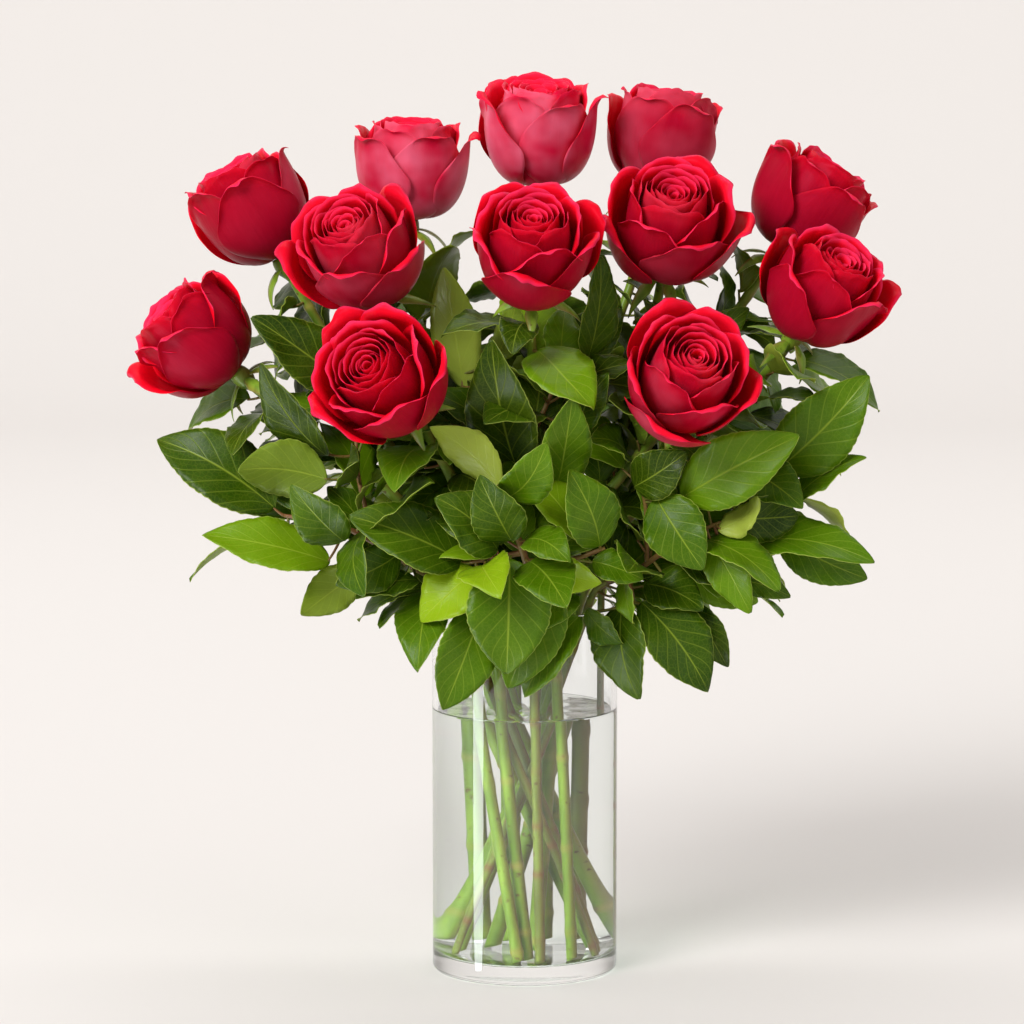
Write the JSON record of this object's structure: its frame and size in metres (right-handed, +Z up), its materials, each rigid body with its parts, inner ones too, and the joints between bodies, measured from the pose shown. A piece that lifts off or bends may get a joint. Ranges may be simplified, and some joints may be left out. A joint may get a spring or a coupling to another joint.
{
  "type": "vase of roses",
  "caption": "Bouquet of open roses with broad-leaved foliage, standing in a straight clear glass vase partly filled with water.",
  "frame": {"origin": "middle of the vase's flat bottom", "axes": "+Z up along the vase's axis, -Y towards the bouquet's front, +X to the right seen from the front"},
  "size_m": [0.4152, 0.2784, 0.4897],
  "materials": {
    "clear_glass": "clear, smooth blown and polished glass",
    "water": "still clear water",
    "petals": "velvety petals, deep red within and paler on their backs",
    "rose_green": "smooth green stems, cups and sepals",
    "foliage": "leathery leaves with a soft shine on reddish-brown twigs"
  },
  "bodies": {
    "root": {"vase": "clear_glass", "water": "water", "rose_01": "petals", "rose_02": "petals", "rose_03": "petals", "rose_04": "petals", "rose_05": "petals", "rose_06": "petals", "rose_07": "petals", "rose_08": "petals", "rose_09": "petals", "rose_10": "petals", "rose_11": "petals", "rose_12": "petals", "rose_stem_01": "rose_green", "rose_stem_02": "rose_green", "rose_stem_03": "rose_green", "rose_stem_04": "rose_green", "rose_stem_05": "rose_green", "rose_stem_06": "rose_green", "rose_stem_07": "rose_green", "rose_stem_08": "rose_green", "rose_stem_09": "rose_green", "rose_stem_10": "rose_green", "rose_stem_11": "rose_green", "rose_stem_12": "rose_green", "foliage_left": "foliage", "foliage_front": "foliage", "foliage_upper": "foliage", "foliage_right": "foliage", "foliage_far_right": "foliage", "foliage_back": "foliage"}
  },
  "joints": []
}
